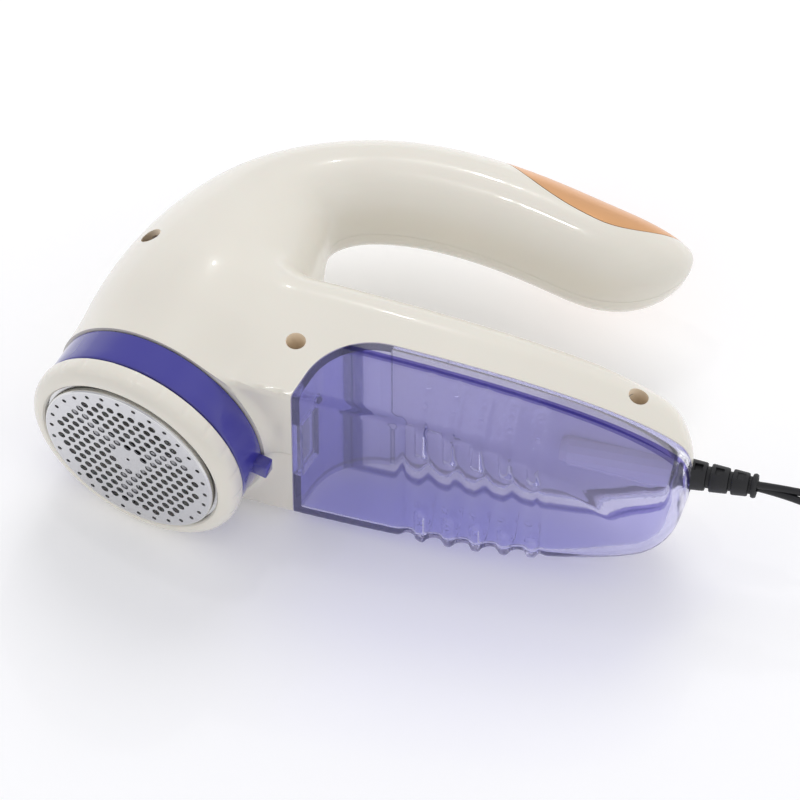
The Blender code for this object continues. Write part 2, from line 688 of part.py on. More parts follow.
collar = turned('adjust_collar', [
    (COLLAR_Y0, CARRIER_R + 0.4), (COLLAR_Y0, 34.3), (COLLAR_Y0 + 0.6, 34.7),
    (COLLAR_Y1 - 0.4, HEAD_R), (COLLAR_Y1, 34.7), (COLLAR_Y1, CARRIER_R + 0.4)], 44, BLUE)
cut(collar, block('tab', (33.6, 38.4), (18.3, 22.6), (-2.6, 2.6)), 'UNION')
turned('foil_carrier', [(FACE_Y + 3.7, 28.9), (FACE_Y + 3.7, CARRIER_R), (31.5, CARRIER_R),
                        (31.5, 29.6)], 36, WHITE)

# ---------------------------------------------------------------- cutter, fan and shaft
BLADE_Y = (FACE_Y + 1.2, FACE_Y + 2.1)
HUB_BORE = SHAFT_R + 0.2
SHAFT_BORE = SHAFT_R + 0.15
# one cutter arm: radial position, sideways position
BLADE_ARM = [(5.0, -3.2), (14.0, -2.6), (BLADE_R - 0.4, -3.8), (BLADE_R, 0.4), (15.0, 2.8),
             (5.0, 3.4)]
VANE = ((4.6, 0.0), (12.0, 0.09), (19.0, 0.26), (25.2, 0.5))     # radius, sweep in radians
COIL_TURNS, COIL_STEPS = 4, 10

sleeve('motor_shaft', 6.2, 86.5, 0, SHAFT_R, 14, ZINC)
blade = sleeve('cutter_blade', *BLADE_Y, HUB_BORE, 7.0, 18, BLADE)
for k in range(3):
    angle = 2 * pi * k / 3 + 0.5
    verts = [(out * cos(angle) - side * sin(angle), y, out * sin(angle) + side * cos(angle))
             for y in BLADE_Y for out, side in BLADE_ARM]
    cut(blade, add('blade_arm', verts, prism_faces(6)), 'UNION')
turned('cutter_hub', [(FACE_Y + 2.4, HUB_BORE), (FACE_Y + 2.4, 7.4), (FACE_Y + 3.4, 7.4),
                      (FACE_Y + 3.4, 5.0), (10.5, 5.0), (10.5, HUB_BORE)], 20, WHITE)
sleeve('blade_nut', FACE_Y + 1.1, 5.9, 0.0, 1.5, 6, BRASS)
coil = []
for i in range(COIL_TURNS * COIL_STEPS + 1):
    angle = 2 * pi * i / COIL_STEPS
    coil.append((3.2 * cos(angle), 11.4 + 6.6 * i / (COIL_TURNS * COIL_STEPS),
                 3.2 * sin(angle)))
rod('blade_spring', coil, 0.42, 5, ZINC)

fan = turned('suction_fan', [(19.0, SHAFT_BORE), (19.0, 5.4), (30.6, 5.4), (30.6, 26.0),
                             (31.8, 26.0), (31.8, SHAFT_BORE)], 28, WHITE)
vane_faces = [[0, 1, 3, 2], [12, 14, 15, 13]]
for i in (0, 4, 8):
    vane_faces += [[i + k for k in face] for face in
                   ((0, 4, 5, 1), (2, 3, 7, 6), (0, 2, 6, 4), (1, 5, 7, 3))]
for k in range(8):
    verts = []
    for radius, sweep in VANE:
        for half in (-0.6 / radius, 0.6 / radius):
            for y in (21.5 if radius < 20 else 23.0, 31.0):
                angle = 2 * pi * k / 8 + sweep + half
                verts.append((radius * cos(angle), y, radius * sin(angle)))
    cut(fan, add('vane', verts, vane_faces), 'UNION')
turned('armature', [(47.0, SHAFT_BORE), (47.0, 9.5), (70.0, 9.5), (70.0, 4.0), (76.5, 4.0),
                    (76.5, SHAFT_BORE)], 20, BRASS)

# ---------------------------------------------------------------- motor and its plate
CAN_WALL = 1.2
MOTOR_SCREW_CIRCLE = 9.5         # radius the two screws stand at

can = turned('motor_can', [
    (MOTOR_Y0, 5.3), (MOTOR_Y0, MOTOR_R), (MOTOR_Y1, MOTOR_R), (MOTOR_Y1, MOTOR_R - CAN_WALL),
    (MOTOR_Y0 + 1.4, MOTOR_R - CAN_WALL), (MOTOR_Y0 + 1.4, 5.3)], 32, ZINC)
sleeve('front_bearing', 37.6, 42.6, SHAFT_BORE, 5.0, 20, BRASS)
turned('motor_end_cap', [
    (MOTOR_Y1 + GAP, 3.8), (MOTOR_Y1 + GAP, MOTOR_R), (MOTOR_Y1 + 3.0, MOTOR_R),
    (MOTOR_Y1 + 4.0, 9.0), (MOTOR_Y1 + 6.0, 6.0), (MOTOR_Y1 + 6.0, 3.8)], 28, BLACK)
sleeve('rear_bearing', MOTOR_Y1 + 0.5, MOTOR_Y1 + 5.8, SHAFT_BORE, 3.5, 18, BRASS)
plate = turned('motor_plate', [(34.2, 5.6), (34.2, 31.6), (36.4, 31.6), (39.0, 16.0),
                               (39.7, 14.6), (39.7, 5.6)], 36, WHITE)
for k, angle in enumerate((pi / 2, -pi / 2)):
    x, z = MOTOR_SCREW_CIRCLE * cos(angle), MOTOR_SCREW_CIRCLE * sin(angle)
    cut(plate, sleeve('screw_hole', 30, 45, 0, 1.6, 10, x=x, z=z))
    cut(can, sleeve('tap', 38, 45, 0, 1.3, 10, x=x, z=z))
    turned('motor_screw_%d' % (k + 1), [(32.4, 0), (32.4, 2.6), (34.0, 2.6), (34.0, 1.1),
                                        (43.5, 1.1), (43.5, 0)], 12, ZINC, x, z)

# rectangular throat that carries the lint from the fan chamber to the box
duct = block('lint_duct', (33.2, 42.6), (31.0, 41.7), (-13.8, 13.8), WHITE)
cut(duct, block('throat', (30, 46), (32.4, 40.3), (-12.3, 12.3)))
cut(duct, block('clear_rear', (41.3, 50), (20, 60), (-20, 20)))

# ---------------------------------------------------------------- switch and electrics
block('switch_body', (67, 89), (139.5, 147.4), (-5, 5), BLACK)
knob = block('switch_slider', (77.2, 83.0), (147.8, 153.9), (-2.9, 2.9), BLACK)
for k in range(3):
    cut(knob, block('groove', (78.3 + 1.5 * k, 79.0 + 1.5 * k), (153.3, 155), (-4, 4)))
cut(trim, block('switch_slot', (69.5, 83.5), (140, 160), (-3.3, 3.3)))

arm_block('circuit_board', (72, 110), (48.6, 50.2), (-16, 16), BOARD)
arm_block('rectifier', (78, 84), (50.5, 58.0), (-8, 8), EPOXY)
rod('capacitor', [(*arm(along, 55.6), 0.0) for along in (90, 105)], 4.6, 16, CAPBLUE)

# wire routes in the side plane: x, y
MOTOR_ROUTE = [(8.5, 84.8), (11.2, 87.0), (15.3, 84.0), (17.2, 79.0), (19.5, 74.0),
               (24.0, 68.5), (34.0, 64.5), arm(58, 52.6), arm(75.5, 53.0)]
SWITCH_ROUTE = [(66.2, 141.0), (58, 137), (40, 134), (25, 129.5), (10, 121), (0, 108),
                (3.0, 98.0), (9.0, 91.0), (14.8, 85.3), (17.0, 79.3), (19.3, 74.0),
                (24.0, 68.5), (34.0, 64.5), arm(60, 52.6), arm(76.5, 53.0)]
for name, side, mat in (('motor_lead_live', 1, RED), ('motor_lead_neutral', -1, WIREBLUE)):
    rod(name, [(x, y, side * (5.0 + 0.35 * i)) for i, (x, y) in enumerate(MOTOR_ROUTE)],
        0.9, 8, mat)
rod('switch_lead', [(x, y, 0.0) for x, y in SWITCH_ROUTE], 1.1, 8, WIREBLUE)

# ---------------------------------------------------------------- cord and strain relief
CORD_TAIL = 34.0          # flex modelled beyond the strain relief
TAIL_STEPS = 7
TAIL_TWIST = 0.22         # radians per step
CORD_SEG = 14

axis = Vector((cord_out[0] - cord_x, cord_out[1] - cord_y, 0))
relief_length = axis.length
axis = axis.normalized()
# distance along the axis, radius
RELIEF = [(-1.5, 4.9), (0.6, 4.7), (5.4, 4.3), (6.0, 3.7), (6.9, 3.7), (7.4, 4.2),
          (12.0, 3.9), (12.6, 3.3), (13.4, 3.3), (13.9, 3.8), (18.0, 3.5), (18.6, 3.0),
          (19.4, 3.0), (20.0, 3.7), (relief_length, 3.7)]


def on_cord(distance, sag=0.0):
    """point on the strain relief's axis, moved by sag towards -Z"""
    point = Vector((cord_x, cord_y, 0)) + axis * distance
    return (point.x, point.y, -sag)


relief = rod('strain_relief', [on_cord(distance) for distance, _ in RELIEF],
             [radius for _, radius in RELIEF], 18, BLACK)
cut(relief, rod('relief_bore', [on_cord(-4), on_cord(relief_length + 3)], 2.75, 12))

path = [(tunnel_x - 3.0, tunnel_y + 13.2, 0.0), (tunnel_x + 3.0, tunnel_y + 11.6, 0.0)]
path += [(x, y, 0.0) for x, y, _ in bend[3:]]
path += [on_cord(distance) for distance in (-16, -9, 0, 11, relief_length - 0.5)]
first_free = len(path) - 1
for k in range(1, TAIL_STEPS + 1):
    run = CORD_TAIL * k / TAIL_STEPS
    path.append(on_cord(relief_length - 0.5 + run, 0.0055 * run ** 2 + 0.02 * run))
points = [Vector(point) for point in path]
verts = []
for i, point in enumerate(points):
    ahead = tangent(points, i)
    normal = ahead.cross(Vector((0, 0, 1))).normalized()
    across = normal.cross(ahead)
    twist = max(0, i - first_free) * TAIL_TWIST
    for k in range(CORD_SEG):
        angle = 2 * pi * k / CORD_SEG
        # two round cores side by side, joined by a web
        radius = 1.15 + 1.05 * abs(cos(angle)) ** 1.3
        wide, thick = radius * cos(angle), min(radius, 1.5) * sin(angle)
        verts.append(point + across * (wide * cos(twist) - thick * sin(twist))
                     + normal * (wide * sin(twist) + thick * cos(twist)))
add('power_cord', verts, tube_faces(len(points), CORD_SEG), CORD)

for piece in bpy.data.objects:
    piece.data.shade_smooth()
    piece.data.set_sharp_from_angle(angle=SHARP_ANGLE)
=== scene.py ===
# Corded fabric shaver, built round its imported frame.
# The round head sits on the Y axis with its foil facing -Y. The arm with the lint box runs
# towards +X, tilted up, and the grip rises along +Y and bends over towards +X, above the arm.
# The casing halves meet at Z = 0 (near is +Z), and the shaver lies on its -Z side.
# "Front" is the -X end of a piece. Along-arm is s and across-arm is t.
import json
import bpy
import bmesh
import numpy as np
from math import sin, cos, pi, radians, ceil, sqrt, exp
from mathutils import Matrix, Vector


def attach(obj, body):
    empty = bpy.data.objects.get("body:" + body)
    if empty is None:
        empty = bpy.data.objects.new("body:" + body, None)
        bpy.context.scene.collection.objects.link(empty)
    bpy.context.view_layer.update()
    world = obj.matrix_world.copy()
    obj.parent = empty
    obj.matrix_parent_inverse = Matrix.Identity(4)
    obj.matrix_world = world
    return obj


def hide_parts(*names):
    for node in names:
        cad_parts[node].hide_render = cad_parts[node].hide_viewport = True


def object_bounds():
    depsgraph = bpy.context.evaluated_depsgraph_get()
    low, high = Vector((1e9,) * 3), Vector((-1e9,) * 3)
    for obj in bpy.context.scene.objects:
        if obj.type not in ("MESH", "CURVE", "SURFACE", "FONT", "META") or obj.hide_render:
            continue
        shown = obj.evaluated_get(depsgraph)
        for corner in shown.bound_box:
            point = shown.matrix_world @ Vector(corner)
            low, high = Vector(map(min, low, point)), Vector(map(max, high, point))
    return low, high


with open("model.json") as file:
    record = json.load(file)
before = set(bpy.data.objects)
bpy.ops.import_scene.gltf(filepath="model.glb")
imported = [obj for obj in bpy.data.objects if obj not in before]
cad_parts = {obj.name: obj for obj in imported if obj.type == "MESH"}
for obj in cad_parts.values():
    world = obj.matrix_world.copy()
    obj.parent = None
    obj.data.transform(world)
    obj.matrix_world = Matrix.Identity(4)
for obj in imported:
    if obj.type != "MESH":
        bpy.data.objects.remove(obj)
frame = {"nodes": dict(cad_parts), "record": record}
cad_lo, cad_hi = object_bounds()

# ---------------------------------------------------------------- sizes, mm
MM = 0.001
WALL = 2.2                # casing wall
BOX_WALL = 1.8            # lint box wall
CASING_GRID = 1.5         # facet size of the casing
ARM_TILT = radians(12.5)
ARM_BOTTOM = 18.4         # across-arm height of the box floor
ARM_TOP = 66.4            # across-arm height of the arm's top
ARM_END = 167.2           # along-arm position of the rear end
ARM_HALF = 30.6           # half width of the arm at the front of the box
TAPER_START = 46.0        # along-arm position where the plan starts to narrow
ROOF = 44.5               # across-arm height of the lint box rim
BOX_FRONT = 41.9          # X of the lint box front wall
BOX_FILLET = 22.0
BAY_FAR, BAY_LOW = 190.0, -5.0    # the bay outline runs past the body to here
MOUTH_Y = 23.5            # plane of the casing's mouth
HEAD_R = 35.0             # outer radius of the casing's head
FOIL_R, FOIL_T = 28.7, 0.5
FACE_Y = 3.0              # the foil's face in these sizes; meshes are moved to put it at Y = 0
COLLAR_Y0, COLLAR_Y1 = 12.1, 23.2
CARRIER_R = 31.5
CORD_IN, CORD_OUT = (147.8, 79.4), (168.1, 85.3)   # ends of the strain relief's axis
CORD_TAIL = 34.0          # flex modelled beyond the strain relief
SCREWS = ((-26.4, 63.1), (33.4, 46.1), (128.7, 83.2))

# Finger ribs on the sides of the lint box
RIB_S, RIB_PITCH, RIB_T = 85.6, 8.6, 27.6      # along-arm start and pitch, across-arm height
RIB_TILT = radians(19.0)

# The grip's centre line rises out of the head, leans forward, goes round a superelliptic
# bend into a level bar, and lifts into a tapered tip
GRIP_R = 16.0                    # radius of the level bar
LEAN, LEAN_Y = 7.4, 26.0         # how far the neck leans forward, and where the lean starts
BEND_X, BEND_Y = 75.0, 88.0      # centre of the bend
BAR_Y = 137.2                    # height of the level bar
BEND_POWER = 2.33                # squareness of the bend
NECK_Y0, NECK_Y1 = 42.0, 126.0   # the neck tapers from the head's radius to the bar's
TIP_START, TIP_X = 80.0, 108.6
TIP_LIFT, TIP_R = 10.7, 4.8
GRIP_PITCH = 2.0                 # spacing of the spheres along the line

# Lower edge of the copper trim in side view: a parabola each side of its lowest point
TRIM_LOW = (86.0, 139.0)
TRIM_FRONT, TRIM_REAR = (45.0, 14.0), (26.0, 18.0)   # run and rise to each end

CA, SA = cos(ARM_TILT), sin(ARM_TILT)


def arm(s, t):
    """side-plane point from along-arm s and across-arm t"""
    return (s * CA - t * SA, s * SA + t * CA)


def arm_coords(x, y):
    """along-arm and across-arm position of a side-plane point"""
    return x * CA + y * SA, -x * SA + y * CA


# ---------------------------------------------------------------- the moulded body
def step(a, b, x):
    """smooth rise from 0 at a to 1 at b"""
    t = np.clip((x - a) / (b - a), 0, 1)
    return t * t * (3 - 2 * t)


def neck_radius(y):
    return HEAD_R - (HEAD_R - GRIP_R) * float(step(NECK_Y0, NECK_Y1, y))


def grip_line():
    """spheres along the grip's centre line, from the tip down into the head: x, y, radius"""
    line = []
    for x in np.arange(TIP_X, BEND_X, -GRIP_PITCH / 2):
        u = max(x - TIP_START, 0) / (TIP_X - TIP_START)
        line.append((x, BAR_Y + TIP_LIFT * u ** 3, GRIP_R - (GRIP_R - TIP_R) * u ** 3.3))
    reach, rise = BEND_X + LEAN, BAR_Y - BEND_Y
    for q in np.linspace(pi / 2, 0, int(150 / GRIP_PITCH)):
        x = BEND_X - reach * max(cos(q), 0) ** (2 / BEND_POWER)
        y = BEND_Y + rise * max(sin(q), 0) ** (2 / BEND_POWER)
        line.append((x, y, neck_radius(y)))
    for y in np.arange(BEND_Y, 10 - GRIP_PITCH, -GRIP_PITCH):
        line.append((-LEAN * float(step(LEAN_Y, BEND_Y, y)), y, neck_radius(y)))
    return np.array(line)


SPHERES = grip_line()


def grip_field(p):
    out = np.full(len(p), 1e9)
    for c in SPHERES:
        d = np.sqrt((p[:, 0] - c[0]) ** 2 + (p[:, 1] - c[1]) ** 2 + p[:, 2] ** 2) - c[2]
        np.minimum(out, d, out)
    return out


def corner_distance(a, b, radius):
    """distance to two crossing faces whose shared edge is rounded"""
    a, b = a + radius, b + radius
    outside = np.sqrt(np.maximum(a, 0) ** 2 + np.maximum(b, 0) ** 2)
    return np.minimum(np.maximum(a, b), 0) + outside - radius


def arm_field(p, soften):
    s, t = arm_coords(p[:, 0], p[:, 1])
    z = np.abs(p[:, 2])
    # plan: a superellipse tail whose size and squareness fall off towards the floor
    draft = np.clip((46 - t) / 28, 0, 1)
    length = ARM_END - 2.0 * draft - TAPER_START
    power = 2.6 - 0.5 * draft
    half = ARM_HALF - 0.2 * draft - 2.0 * (1 - step(14, 40, s))
    u = np.clip((s - TAPER_START) / length, 0, None)
    q = ((z / half) ** power + u ** power) ** (1 / power)
    zz, uu, qq = np.maximum(z, 1e-6), np.maximum(u, 1e-9), np.maximum(q, 1e-6)
    slope_z = qq ** (1 - power) * (zz / half) ** (power - 1) / half
    slope_s = qq ** (1 - power) * uu ** (power - 1) / length * (u > 0)
    plan = (q - 1) / np.maximum(np.sqrt(slope_z * slope_z + slope_s * slope_s), 1 / 45.0)
    plan = np.maximum(plan, 8 - s)
    # side view: a bar with a falling top and a rounded rear end
    top = ARM_TOP - 0.034 * np.clip(s - 49, 0, None)
    mid, height = 0.5 * (top + ARM_BOTTOM), 0.5 * (top - ARM_BOTTOM)
    end_round = np.where(t > mid, 17.0, 15.0)
    side = corner_distance(s - ARM_END, np.abs(t - mid) - height, end_round)
    # edge rounding: tight at the floor, wider at the rear and near the top
    upper = step(40, 56, t)
    edge = 1.3 + soften + 10.0 * upper + 7.0 * step(92, 170, s) * (1 - upper)
    return corner_distance(plan, side, edge)


def body_field(p, soften=0.0):
    """approximate signed distance to the outside of casing and lint box together"""
    a, b = grip_field(p), arm_field(p, soften)
    k = 4.0 + 5.0 * step(26.0, 46.0, p[:, 1])      # small fillet at the mouth, large above
    h = np.maximum(k - np.abs(a - b), 0) / k
    return np.minimum(a, b) - h * h * k * 0.25


def slope(p, field, e=0.05):
    g = np.zeros_like(p)
    for i in range(3):
        d = np.zeros(3)
        d[i] = e
        g[:, i] = (field(p + d) - field(p - d)) / (2 * e)
    return g


def settle(p, level, field):
    """points moved onto the field's surface by a few Newton steps"""
    for _ in range(4):
        v, g = field(p) - level, slope(p, field)
        p = p - g * (v / np.maximum((g * g).sum(1), 1e-6))[:, None]
    return p


def skin(level, lo, hi, pitch, field=body_field):
    """closed quad mesh of a field's surface at one depth, a vertex in each grid cell it crosses"""
    n = [int(ceil((hi[i] - lo[i]) / pitch)) + 1 for i in range(3)]
    axes = [lo[i] + pitch * np.arange(n[i]) for i in range(3)]
    X, Y, Z = np.meshgrid(*axes, indexing='ij')
    value = (field(np.c_[X.ravel(), Y.ravel(), Z.ravel()]) - level).reshape(n)
    inside = value < 0
    corners = [(i, j, k) for i in (0, 1) for j in (0, 1) for k in (0, 1)]
    count = sum(inside[i:n[0] - 1 + i, j:n[1] - 1 + j, k:n[2] - 1 + k].astype(int)
                for i, j, k in corners)
    crossed = (count > 0) & (count < 8)
    index = -np.ones(crossed.shape, int)
    index[crossed] = np.arange(crossed.sum())
    base = np.argwhere(crossed)

    # each vertex is the mean of the crossings on its cell's edges
    total, hits = np.zeros((len(base), 3)), np.zeros(len(base))
    for a in corners:
        for axis in range(3):
            if a[axis]:
                continue
            b = list(a)
            b[axis] = 1
            va = value[base[:, 0] + a[0], base[:, 1] + a[1], base[:, 2] + a[2]]
            vb = value[base[:, 0] + b[0], base[:, 1] + b[1], base[:, 2] + b[2]]
            m = (va < 0) != (vb < 0)
            t = np.where(m, va / np.where(m, va - vb, 1), 0)
            crossing = base + np.array(a) + np.outer(t, np.array(b) - np.array(a))
            total[m] += crossing[m]
            hits[m] += 1
    points = np.array(lo) + pitch * total / hits[:, None]

    # one quad round every grid edge that passes through the surface
    quads = []
    for axis in range(3):
        o = [i for i in range(3) if i != axis]
        start, end = [slice(None)] * 3, [slice(None)] * 3
        start[axis], end[axis] = slice(0, n[axis] - 1), slice(1, n[axis])
        a, b = inside[tuple(start)], inside[tuple(end)]
        for flip, mask in ((False, a & ~b), (True, ~a & b)):
            edges = np.argwhere(mask)

            def cell_at(d0, d1):
                cell = edges.copy()
                cell[:, o[0]] -= d0
                cell[:, o[1]] -= d1
                return index[cell[:, 0], cell[:, 1], cell[:, 2]]
            quad = np.c_[cell_at(1, 1), cell_at(0, 1), cell_at(0, 0), cell_at(1, 0)]
            if (axis == 1) != flip:
                quad = quad[:, ::-1]
            quads.append(quad)
    return settle(points, level, field), np.vstack(quads)


def surface_z(x, y):
    """height of the body's near side above the mid-plane"""
    z = np.linspace(0.0, 44.0, 441)
    f = body_field(np.c_[np.full(441, x), np.full(441, y), z])
    i = int(np.argmax(f >= 0))
    return float(z[i - 1] + 0.1 * f[i - 1] / (f[i - 1] - f[i])) if i else 0.0


def bay_outline(off, seg=36):
    """side view of the lint box bay, grown by off: front wall, corner round, roof"""
    front, roof = BOX_FRONT - off, ROOF + off
    R = BOX_FILLET + off
    cx = front + R
    cy = (roof - R) / CA + cx * SA / CA      # centre so the arc touches both lines
    points = [(front, BAY_LOW)]
    a0, a1 = pi, pi / 2 + ARM_TILT
    for k in range(seg + 1):
        a = a0 + (a1 - a0) * k / seg
        points.append((cx + R * cos(a), cy + R * sin(a)))
    end = arm(BAY_FAR, roof)
    return points + [end, (end[0], BAY_LOW)]


# ---------------------------------------------------------------- mesh helpers
def link(name, data):
    ob = bpy.data.objects.new(name, data)
    bpy.context.scene.collection.objects.link(ob)
    return ob


def shade(ob, angle):
    """smooth shading with edges sharper than angle, in degrees, kept crisp"""
    ob.data.shade_smooth()
    ob.data.set_sharp_from_angle(angle=radians(angle))


def mesh(name, verts, faces):
    me = bpy.data.meshes.new(name)
    verts = [(float(x) * MM, (float(y) - FACE_Y) * MM, float(z) * MM) for x, y, z in verts]
    me.from_pydata(verts, [], [tuple(map(int, f)) for f in faces])
    bm = bmesh.new()
    bm.from_mesh(me)
    bmesh.ops.remove_doubles(bm, verts=bm.verts, dist=1e-7)
    bmesh.ops.recalc_face_normals(bm, faces=bm.faces)
    bm.to_mesh(me)
    bm.free()
    ob = link(name, me)
    shade(ob, 32)
    return ob


def baked(ob):
    """new mesh of the object with its modifiers applied"""
    bpy.context.view_layer.update()
    depsgraph = bpy.context.evaluated_depsgraph_get()
    return bpy.data.meshes.new_from_object(ob.evaluated_get(depsgraph))


def discard(ob):
    bpy.data.objects.remove(ob, do_unlink=True)


def boolean(ob, tool, op='DIFFERENCE', keep=False):
    m = ob.modifiers.new('cut', 'BOOLEAN')
    m.operation, m.solver, m.object = op, 'MANIFOLD', tool
    me = baked(ob)
    if not len(me.polygons):      # the manifold solver gives nothing for an open mesh
        m.solver = 'EXACT'
        me = baked(ob)
    ob.modifiers.clear()
    ob.data = me
    me.name = ob.name
    if not keep:
        discard(tool)


def circle(x, y, r, seg):
    return [(x + r * cos(2 * pi * k / seg), y + r * sin(2 * pi * k / seg)) for k in range(seg)]


def prism(name, outline, z0, z1):
    n = len(outline)
    verts = [(x, y, z) for z in (z0, z1) for x, y in outline]
    faces = [list(range(n)), list(range(2 * n - 1, n - 1, -1))]
    faces += [[i, i + n, (i + 1) % n + n, (i + 1) % n] for i in range(n)]
    return mesh(name, verts, faces)


def block(name, x, y, z):
    return prism(name, [(x[0], y[0]), (x[1], y[0]), (x[1], y[1]), (x[0], y[1])], z[0], z[1])


def cyl_z(name, x, y, r, z0, z1):
    return prism(name, circle(x, y, r, 40), z0, z1)


def turned(name, profile, seg, swell=None):
    """closed loop of (y, r) turned about the head's axis; swell moves a point outwards"""
    verts, rings = [], []
    for y, r in profile:
        if r < 1e-6:
            verts.append((0, y, 0))
            rings.append([len(verts) - 1] * seg)
            continue
        rings.append(list(range(len(verts), len(verts) + seg)))
        for k in range(seg):
            a = 2 * pi * k / seg
            q = r + (swell(y, r, a) if swell else 0)
            verts.append((q * cos(a), y, q * sin(a)))
    faces = []
    for i in range(len(rings)):
        A, B = rings[i], rings[(i + 1) % len(rings)]
        if A[0] == A[1] and B[0] == B[1]:
            continue
        for k in range(seg):
            l = (k + 1) % seg
            f = [A[k], A[l], B[l], B[k]]
            f = [v for j, v in enumerate(f) if v not in f[:j]]
            if len(f) > 2:
                faces.append(f)
    return mesh(name, verts, faces)


def sweep(name, path, radii, seg):
    """capped round bar along a path, with one radius or one for each point"""
    P = [Vector(p) for p in path]
    R = radii if hasattr(radii, '__len__') else [radii] * len(P)
    verts, faces, across = [], [], None
    for i, p in enumerate(P):
        d = (P[min(i + 1, len(P) - 1)] - P[max(i - 1, 0)]).normalized()
        if across is None:
            across = Vector((0, 0, 1)).cross(d).normalized()
        else:
            across = (across - d * across.dot(d)).normalized()
        b = d.cross(across)
        for k in range(seg):
            w = 2 * pi * k / seg
            verts.append(p + (across * cos(w) + b * sin(w)) * R[i])
    for i in range(len(P) - 1):
        for k in range(seg):
            l = (k + 1) % seg
            faces.append([i * seg + k, i * seg + l, (i + 1) * seg + l, (i + 1) * seg + k])
    faces.append(list(range(seg - 1, -1, -1)))
    faces.append([(len(P) - 1) * seg + k for k in range(seg)])
    return mesh(name, verts, faces)


def cord_tool(name, back, drop, z, radius):
    """bar round the strain relief's axis, its inner end moved back and down"""
    start = (CORD_IN[0] - back, CORD_IN[1] - drop, z)
    return sweep(name, [start, (*CORD_OUT, z)], radius, 48)


# ---------------------------------------------------------------- materials
def new_material(name):
    """a node material, its nodes, its link function and its Principled shader"""
    m = bpy.data.materials.new(name)
    m.use_nodes = True
    nodes = m.node_tree.nodes
    return m, nodes, m.node_tree.links.new, nodes['Principled BSDF']


def set_inputs(node, values):
    for key, value in values.items():
        node.inputs[key].default_value = value


def add(nodes, kind, values={}, operation=None):
    node = nodes.new('ShaderNode' + kind)
    set_inputs(node, values)
    if operation:
        node.operation = operation
    return node


def add_ramp(nodes, low, high, at=(0.0, 1.0)):
    ramp = nodes.new('ShaderNodeValToRGB')
    for element, position, rgb in zip(ramp.color_ramp.elements, at, (low, high)):
        element.position = position
        element.color = (*rgb, 1)
    return ramp


def plastic(name, rgb, rough=0.3, grain=900.0, bump=0.02, vary=0.05, coat=0.0, metal=0.0,
            sss=0.0, spec=0.5):
    """moulded plastic or metal: cloudy colour, uneven gloss and a fine moulded grain"""
    m, nodes, join, shader = new_material(name)
    coords = add(nodes, 'TexCoord')
    cloud = add(nodes, 'TexNoise', {'Scale': 28.0, 'Detail': 3.0})
    fine = add(nodes, 'TexNoise', {'Scale': grain, 'Detail': 4.0})
    for noise in (cloud, fine):
        join(coords.outputs['Object'], noise.inputs['Vector'])
    ramp = add_ramp(nodes, [c * (1 - vary) for c in rgb],
                    [min(1, c * (1 + vary * 0.5)) for c in rgb], at=(0.3, 0.7))
    join(cloud.outputs['Fac'], ramp.inputs['Fac'])
    join(ramp.outputs['Color'], shader.inputs['Base Color'])
    gloss = add(nodes, 'MapRange', {'To Min': rough * 0.8, 'To Max': rough * 1.25})
    join(fine.outputs['Fac'], gloss.inputs['Value'])
    join(gloss.outputs['Result'], shader.inputs['Roughness'])
    relief = add(nodes, 'Bump', {'Strength': bump, 'Distance': 0.0002})
    join(fine.outputs['Fac'], relief.inputs['Height'])
    join(relief.outputs['Normal'], shader.inputs['Normal'])
    set_inputs(shader, {'Metallic': metal, 'Specular IOR Level': spec, 'Coat Weight': coat,
                        'Coat Roughness': 0.06, 'Subsurface Weight': sss,
                        'Subsurface Scale': 0.002})
    return m


def brushed(name, rgb, rough=0.3, radial=True):
    """steel with a grain turned about the head's axis, or drawn in planes of equal X"""
    m, nodes, join, shader = new_material(name)
    coords = add(nodes, 'TexCoord')
    split = add(nodes, 'SeparateXYZ')
    join(coords.outputs['Object'], split.inputs[0])
    grain = add(nodes, 'CombineXYZ')
    if radial:
        square_x, square_z, total, radius = [
            add(nodes, 'Math', operation=op) for op in ('MULTIPLY', 'MULTIPLY', 'ADD', 'SQRT')]
        for square, axis in ((square_x, 'X'), (square_z, 'Z')):
            join(split.outputs[axis], square.inputs[0])
            join(split.outputs[axis], square.inputs[1])
        join(square_x.outputs[0], total.inputs[0])
        join(square_z.outputs[0], total.inputs[1])
        join(total.outputs[0], radius.inputs[0])
        join(radius.outputs[0], grain.inputs['X'])
    else:
        join(split.outputs['X'], grain.inputs['X'])
    noise = add(nodes, 'TexNoise', {'Scale': 4000.0, 'Detail': 2.0})
    join(grain.outputs[0], noise.inputs['Vector'])
    ramp = add_ramp(nodes, [c * 0.82 for c in rgb], rgb)
    join(noise.outputs['Fac'], ramp.inputs['Fac'])
    join(ramp.outputs['Color'], shader.inputs['Base Color'])
    gloss = add(nodes, 'MapRange', {'To Min': rough * 0.8, 'To Max': rough * 1.3})
    join(noise.outputs['Fac'], gloss.inputs['Value'])
    join(gloss.outputs['Result'], shader.inputs['Roughness'])
    set_inputs(shader, {'Metallic': 1.0})
    return m


